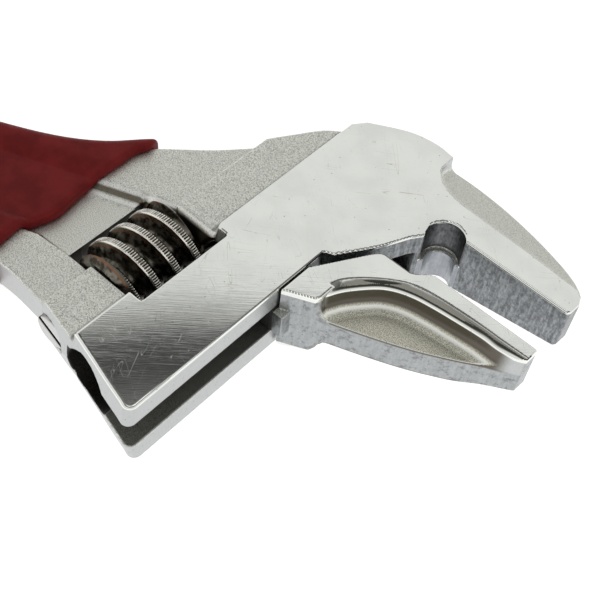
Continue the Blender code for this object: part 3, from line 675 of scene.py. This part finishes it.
def body_marks(paint, colour, grain):
    """Painted shadow beside the steps; painted highlights at the top and foot of the recess's ramp with a
    brown band between them, and painted shadow along its lower wall; a painted highlight and painted shade at
    the window's wall; a darker scoop; painted shade, a lighter lower lining and a painted highlight in the
    groove.
    """
    # Painted shadow: a soft dark grey strip on the band beside the head's step, and on the block beside the
    # band's step.
    on_band = paint.product(paint.ramp(paint.level, 6.3, 5.6), paint.ramp(paint.level, 4.6, 5.0))
    on_block = paint.ramp(paint.level, 4.6, 3.5)
    near_head = paint.between(paint.x, BAND_LINE - 1.3, BAND_LINE + 0.1, 0.8)
    near_band = paint.between(paint.x, BLOCK_LINE - 1.1, BLOCK_LINE + 0.1, 0.7)
    step_shadow_by_head = paint.product(on_band, near_head, 0.8)
    step_shadow_by_band = paint.product(on_block, near_band, 0.7)
    colour = paint.mix(paint.math("MAXIMUM", step_shadow_by_head, step_shadow_by_band), colour, (0.16, 0.16, 0.155))

    row_y = paint.math("MULTIPLY_ADD", paint.x, -math.sin(JAW_ANGLE), HEAD_ORIGIN[1])
    row_y = paint.math("MULTIPLY_ADD", paint.y, math.cos(JAW_ANGLE), row_y)
    past_line = paint.ramp(paint.x, BLOCK_LINE + 0.3, BLOCK_LINE - 0.3)
    block = paint.product(past_line, paint.ramp(paint.level, HALF_BLOCK + 0.3, HALF_BLOCK + 0.1))
    # Painted highlights, broken up by the grain, along the top and the foot of the recess's ramp, with a
    # brown band painted between them.
    sparkle = paint.ramp(grain, 0.30, 0.52)
    ramp_top = paint.between(row_y, 5.75, 6.65, 0.3)
    ramp_foot = paint.between(row_y, 3.85, 4.75, 0.3)
    bright = paint.math("MAXIMUM", ramp_top, ramp_foot)
    brown = paint.product(block, paint.between(row_y, 4.7, 5.9, 0.3), 0.85)
    colour = paint.mix(brown, colour, (0.13, 0.105, 0.065))
    colour = paint.mix(paint.product(block, bright, sparkle), colour, (1.0, 1.0, 0.96))
    # Painted shadow: a dark brown line along the recess's lower wall.
    lower = paint.product(block, paint.ramp(paint.upright, 0.93, 0.75), paint.between(row_y, -8.2, -6.2, 0.2))
    colour = paint.mix(paint.product(lower, 0.85), colour, (0.12, 0.09, 0.065))

    # At the window's far wall: a painted highlight, broken up by the grain, on the leaning fillet, and
    # painted shade, dark brown, on the steep wall.
    by_wall = paint.product(paint.ramp(paint.x, -13.6, -14.4), paint.ramp(paint.x, -28.8, -28.4))
    by_wall = paint.product(by_wall, paint.between(paint.y, -0.2, 1.9, 0.2))
    by_wall = paint.product(by_wall, paint.ramp(paint.level, 6.0, 5.5))
    leaning = paint.product(paint.ramp(paint.upright, 0.30, 0.50), paint.ramp(paint.upright, 1.0, 0.96))
    fillet = paint.product(by_wall, leaning)
    colour = paint.mix(paint.product(fillet, sparkle), colour, (1.0, 1.0, 0.94))
    wall = paint.product(by_wall, paint.ramp(paint.upright, 0.40, 0.25))
    colour = paint.mix(wall, colour, (0.115, 0.095, 0.055))

    scoop = paint.product(
        paint.ramp(paint.x, 1.5, 1.8), paint.ramp(paint.y, 30.4, 31.0), paint.ramp(paint.level, 6.985, 6.90)
    )
    scoop = paint.product(scoop, paint.ramp(paint.upright, 0.5, 0.7), 0.42)
    colour = paint.mix(scoop, colour, (0.36, 0.37, 0.33))

    # Distances from the groove's axis are compared as squares.
    off_x = paint.math("POWER", paint.math("SUBTRACT", paint.x, GROOVE_X), 2.0)
    off_y = paint.math("POWER", paint.math("SUBTRACT", paint.y, GROOVE_Y), 2.0)
    in_groove = paint.ramp(paint.math("ADD", off_x, off_y), 11.2, 10.6)
    groove = paint.product(in_groove, paint.ramp(paint.upright, 0.6, 0.4))
    # Painted shade on the groove's upper wall, a lighter cool grey on its lower lining, and a painted
    # highlight along the step between them.
    colour = paint.mix(paint.product(groove, paint.ramp(paint.z, 0.9, 1.3), 0.55), colour, (0.06, 0.06, 0.06))
    lower_bore = paint.product(groove, paint.ramp(paint.z, 0.9, 0.6), 0.5)
    colour = paint.mix(lower_bore, colour, (0.50, 0.52, 0.56))
    groove_highlight = paint.product(groove, paint.between(paint.z, 0.70, 1.15, 0.15))
    return paint.mix(groove_highlight, colour, (1.0, 1.0, 0.98))


def jaw_marks(paint, colour, grain):
    """The pocket: a wall in painted dark brown shade, a painted highlight along its fillet and a golden grey
    floor, and painted shade on the roll-off by the ridge above it.
    """
    inside = paint.product(
        paint.ramp(paint.level, 2.2, 2.6), paint.ramp(paint.level, 6.25, 6.0),
        paint.between(paint.y, 3.0, 15.6), paint.ramp(paint.x, 5.2, 5.7), paint.ramp(paint.x, 31.5, 29.0),
    )
    pocket_tone_and_light = paint.mix(paint.ramp(grain, 0.34, 0.60), (0.30, 0.29, 0.225), (0.92, 0.91, 0.78))
    # Painted highlight on the fillet between the pocket's wall and floor, and painted shade, dark brown, on
    # the steep wall, both set by how upright the surface is.
    pocket_tone_and_light = paint.mix(paint.between(paint.upright, 0.66, 0.93, 0.12), pocket_tone_and_light, (1.0, 1.0, 0.95))
    pocket_tone_and_light = paint.mix(paint.ramp(paint.upright, 0.76, 0.50), pocket_tone_and_light, (0.13, 0.115, 0.095))
    colour = paint.mix(inside, colour, pocket_tone_and_light)
    # Painted shade on the roll-off between the jaw's top face and the ridge.
    rim = paint.product(
        paint.ramp(paint.level, 5.6, 5.9), paint.ramp(paint.x, 5.0, 6.0), paint.ramp(paint.y, 17.0, 16.4)
    )
    leaning = paint.product(paint.ramp(paint.upright, 0.9995, 0.975), paint.ramp(paint.upright, 0.66, 0.80))
    roll = paint.product(rim, leaning, 0.9)
    return paint.mix(roll, colour, (0.11, 0.105, 0.085))


def body_top(paint):
    """The head's flat face, without the scoops of the fixed jaw."""
    in_scoop = paint.product(
        paint.ramp(paint.x, 1.5, 1.8), paint.ramp(paint.y, 30.2, 30.6), paint.ramp(paint.level, 6.985, 6.95)
    )
    flat = paint.product(paint.ramp(paint.level, 6.50, 6.68), paint.ramp(paint.x, -14.75, -14.45))
    return paint.product(flat, paint.invert(in_scoop))


def body_machined(paint):
    """The throat and the fixed jaw's side faces."""
    side = paint.ramp(paint.upright, 0.75, 0.5)
    return paint.product(side, paint.ramp(paint.x, -0.9, -0.4), paint.between(paint.y, 8.8, 31.0, 0.8))


def body_painted_shade(paint):
    """Painted shade in the slot, the bore and on the window's walls."""
    slot = paint.product(
        paint.ramp(paint.level, 2.80, 2.72),
        paint.between(paint.x, -16.2, 9.0, 0.12),
        paint.ramp(paint.y, 22.5, 22.3),
    )
    steep = paint.ramp(paint.upright, 0.85, 0.5)
    hole = paint.product(
        steep, paint.between(paint.x, -28.7, -11.9), paint.between(paint.y, -15.8, -0.1), 0.85
    )
    from_axis = paint.math("POWER", paint.math("SUBTRACT", paint.x, BORE_X), 2.0)
    from_axis = paint.math("ADD", from_axis, paint.math("POWER", paint.z, 2.0))
    bore = paint.ramp(from_axis, (BORE_RADIUS + 0.15) ** 2, (BORE_RADIUS + 0.05) ** 2)
    return paint.math("MAXIMUM", paint.math("MAXIMUM", slot, bore), hole)


def jaw_top(paint):
    """The polished top, from just below the jaw's lower corner upwards."""
    corner_line = paint.math("MULTIPLY_ADD", paint.x, 0.05, 12.2)
    above = paint.math("SUBTRACT", paint.y, corner_line)
    return paint.product(paint.ramp(paint.level, 5.95, 6.1), paint.ramp(above, -14, -13))


def jaw_machined(paint):
    """The jaw's side faces, without its pocket's wall."""
    side = paint.ramp(paint.upright, 0.75, 0.5)
    in_pocket = paint.product(
        paint.ramp(paint.level, 2.6, 3.0), paint.between(paint.y, 3.0, 15.6), paint.ramp(paint.x, 5.4, 5.9)
    )
    return paint.product(side, paint.invert(in_pocket))


def jaw_painted_shade(paint):
    """Painted shade on the neck and the rack, inside the head."""
    return paint.product(paint.ramp(paint.x, 0.28, 0.12), 0.85)


def worm_steel():
    """Dark oily steel, worn bright on the knurl, with brown crest edges."""
    paint = Paint("worm_steel_look", 1.0)
    dx = paint.math("SUBTRACT", paint.x, WORM_X)
    squares = paint.math("ADD", paint.math("POWER", dx, 2.0), paint.math("POWER", paint.z, 2.0))
    radius = paint.math("SQRT", squares)
    crest = paint.ramp(radius, WORM_RADIUS - 0.50, WORM_RADIUS - 0.32)
    edge = paint.product(paint.ramp(radius, WORM_RADIUS - 0.85, WORM_RADIUS - 0.55), paint.invert(crest))
    ribs = paint.ramp(radius, WORM_RADIUS - 0.22, WORM_RADIUS - 0.04)
    blotch = paint.noise(0.9, 4.0)
    colour = paint.mix(paint.ramp(blotch, 0.40, 0.62), (0.055, 0.048, 0.038), (0.25, 0.235, 0.20))
    colour = paint.mix(edge, colour, (0.21, 0.115, 0.07))
    colour = paint.mix(crest, colour, (0.13, 0.12, 0.10))
    colour = paint.mix(ribs, colour, (0.92, 0.90, 0.83))
    rough = paint.mix(crest, paint.ramp(blotch, 0.3, 0.7, 0.22, 0.42), 0.24)
    return paint.finish(colour, rough, paint.product(paint.noise(3.0, 4.0), 0.02))


def pin_steel():
    paint = Paint("pin_steel_look", 1.0)
    turned = paint.noise(1.0, 2.0, paint.stretched((6.0, 0.6, 6.0)))
    colour = paint.mix(turned, (0.50, 0.50, 0.49), (0.68, 0.68, 0.67))
    # Painted shade: the slot in the pin's head is coloured nearly black.
    across = paint.math("MULTIPLY_ADD", paint.x, PIN_SLOT[0], -PIN_SLOT[0] * WORM_X)
    across = paint.math("ABSOLUTE", paint.math("MULTIPLY_ADD", paint.z, PIN_SLOT[1], across))
    slot = paint.product(paint.ramp(across, 0.62, 0.48), paint.between(paint.y, -25.35, -23.8, 0.1))
    colour = paint.mix(slot, colour, (0.02, 0.017, 0.013))
    return paint.finish(colour, paint.ramp(turned, 0.3, 0.7, 0.28, 0.42), paint.product(turned, 0.01))


def spring_steel():
    paint = Paint("spring_steel_look", 1.0)
    drawn = paint.noise(5.0, 2.0)
    colour = paint.mix(drawn, (0.36, 0.35, 0.33), (0.55, 0.54, 0.51))
    return paint.finish(colour, paint.ramp(drawn, 0.3, 0.7, 0.25, 0.38), paint.product(drawn, 0.004))


def vinyl():
    """Matte red vinyl with a faint orange-peel skin and a few dirt spots."""
    paint = Paint("grip_vinyl_look", 0.0)
    cloud = paint.noise(0.22, 4.0)
    peel = paint.noise(1.6, 2.0)
    dust = paint.specks(0.8, 0.10)
    colour = paint.mix(paint.ramp(cloud, 0.36, 0.64), (0.130, 0.0068, 0.0072), (0.184, 0.0120, 0.0125))
    colour = paint.mix(paint.math("MULTIPLY", dust, 0.5), colour, (0.05, 0.012, 0.013))
    paint.shader.inputs["Specular IOR Level"].default_value = 0.13
    return paint.finish(colour, paint.ramp(peel, 0.3, 0.7, 0.46, 0.56), paint.product(peel, 0.02))


# Pieces

head = as_piece("wrench_body_head", front_field, (-52, -32, -7.2), (33.2, 40, 7.2), 0.25, "body", 0.45)
core = as_piece("wrench_body_handle", core_field, (-122, -56, -3.6), (-38, 0, 3.6), 0.5, "body", 0.4)
jaw = as_piece("sliding_jaw_forging", jaw_field, (-16, -20.2, -7.2), (33.4, 21.4, 7.2), 0.2, "jaw", 0.5)
worm = as_piece(
    "adjusting_worm_knurled", worm_field, (-28.2, -15.5, -7.3), (-13.6, 0.3, 7.3), 0.12, "worm", 0.6
)
pin = as_piece("worm_pin_slotted", pin_field, (-23.8, -26.4, -3.2), (-17.4, 5.4, 3.2), 0.12, "body", 0.4)
grip = as_piece("grip_dipped_vinyl", grip_field, (-123, -62, -5.2), (-20, 26, 5.2), 0.4, "body")

BODY_CUT = ((0.13, 0.138, 0.145), (0.36, 0.375, 0.39))
JAW_CUT = ((0.34, 0.355, 0.36), (0.44, 0.455, 0.46))
body_metal = forged_metal("body_chrome_look", body_top, body_machined, body_painted_shade, body_marks, BODY_CUT)
jaw_metal = forged_metal("jaw_chrome_look", jaw_top, jaw_machined, jaw_painted_shade, jaw_marks, JAW_CUT)
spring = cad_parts["worm_spring"]
looks = [
    (head, body_metal, "body_chrome", "wrench_body"),
    (core, body_metal, "body_chrome", None),
    (jaw, jaw_metal, "jaw_chrome", "sliding_jaw"),
    (worm, worm_steel(), "worm_steel", "adjusting_worm"),
    (pin, pin_steel(), "pin_steel", "worm_pin"),
    (grip, vinyl(), "grip_vinyl", "grip_sleeve"),
]
for piece, look, slot, node in looks:
    piece.data.materials.clear()
    piece.data.materials.append(look)
    if node:
        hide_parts(node)
spring.material_slots[0].material = spring_steel()


# Floor, light and camera


def make_floor():
    """A glowing white floor just under the wrench, which it leaves only faint shadows on."""
    mesh = bpy.data.meshes.new("floor")
    reach = 3.0
    corners = [(-reach, -reach, 0), (reach, -reach, 0), (reach, reach, 0), (-reach, reach, 0)]
    mesh.from_pydata(corners, [], [(0, 1, 2, 3)])
    floor = bpy.data.objects.new("floor", mesh)
    floor.location.z = -0.0002
    bpy.context.scene.collection.objects.link(floor)
    material = bpy.data.materials.new("floor_white")
    material.use_nodes = True
    shader = material.node_tree.nodes["Principled BSDF"]
    shader.inputs["Base Color"].default_value = (0.4, 0.4, 0.4, 1)
    shader.inputs["Roughness"].default_value = 0.8
    shader.inputs["Specular IOR Level"].default_value = 0.0
    shader.inputs["Emission Color"].default_value = (1, 1, 1, 1)
    shader.inputs["Emission Strength"].default_value = 0.88
    mesh.materials.append(material)


# Each step of the sky: from and to which upward direction, and its strength below and above
SKY_STEPS = ((0.802, 0.826, 0.80, 0.05), (0.842, 0.866, 0.0, 0.15))


def make_world():
    """A pale studio: bright walls up to a soft edge, and a darker ceiling above it."""
    world = bpy.data.worlds.new("studio")
    world.use_nodes = True
    bpy.context.scene.world = world
    tree = world.node_tree
    parts = tree.nodes.new("ShaderNodeSeparateXYZ")
    tree.links.new(tree.nodes.new("ShaderNodeTexCoord").outputs["Generated"], parts.inputs[0])
    total = tree.nodes.new("ShaderNodeMath")
    total.operation = "ADD"
    for (start, end, below, above), socket in zip(SKY_STEPS, total.inputs):
        height = tree.nodes.new("ShaderNodeMapRange")
        height.interpolation_type = "SMOOTHSTEP"
        tree.links.new(parts.outputs["Z"], height.inputs["Value"])
        height.inputs["From Min"].default_value = start
        height.inputs["From Max"].default_value = end
        height.inputs["To Min"].default_value = below
        height.inputs["To Max"].default_value = above
        tree.links.new(height.outputs[0], socket)
    background = tree.nodes["Background"]
    tree.links.new(total.outputs[0], background.inputs["Strength"])
    background.inputs["Color"].default_value = (1.0, 1.0, 0.99, 1)


def make_light(name, spot, size, power, aim=(0.04, 0.0, 0.0)):
    """A rectangular light, in metres and watts, turned towards the head."""
    data = bpy.data.lights.new(name, "AREA")
    data.shape = "RECTANGLE"
    data.size, data.size_y = size
    data.energy = power
    light = bpy.data.objects.new(name, data)
    light.location = spot
    light.rotation_euler = (Vector(aim) - Vector(spot)).to_track_quat("-Z", "Y").to_euler()
    bpy.context.scene.collection.objects.link(light)


def make_camera():
    """The view over the head from the jaws' side, set by its right and up directions."""
    data = bpy.data.cameras.new("camera")
    data.sensor_width = 36.0
    data.lens = 65.46
    data.clip_start = 0.005
    data.clip_end = 20.0
    camera = bpy.data.objects.new("camera", data)
    right, up = Vector((0.9390, 0.3343, 0.0804)), Vector((-0.3152, 0.7433, 0.5900))
    back = right.cross(up).normalized()
    up = back.cross(right).normalized()
    right = up.cross(back)
    turned = Matrix((right, up, back)).transposed().to_4x4()
    camera.matrix_world = Matrix.Translation((0.0658, -0.0963, 0.139)) @ turned
    bpy.context.scene.collection.objects.link(camera)
    bpy.context.scene.camera = camera


make_floor()
make_world()
make_light("overhead", (-0.05, 0.18, 0.95), (0.5, 0.28), 0.45)
make_camera()
bpy.context.scene.view_settings.view_transform = "Standard"
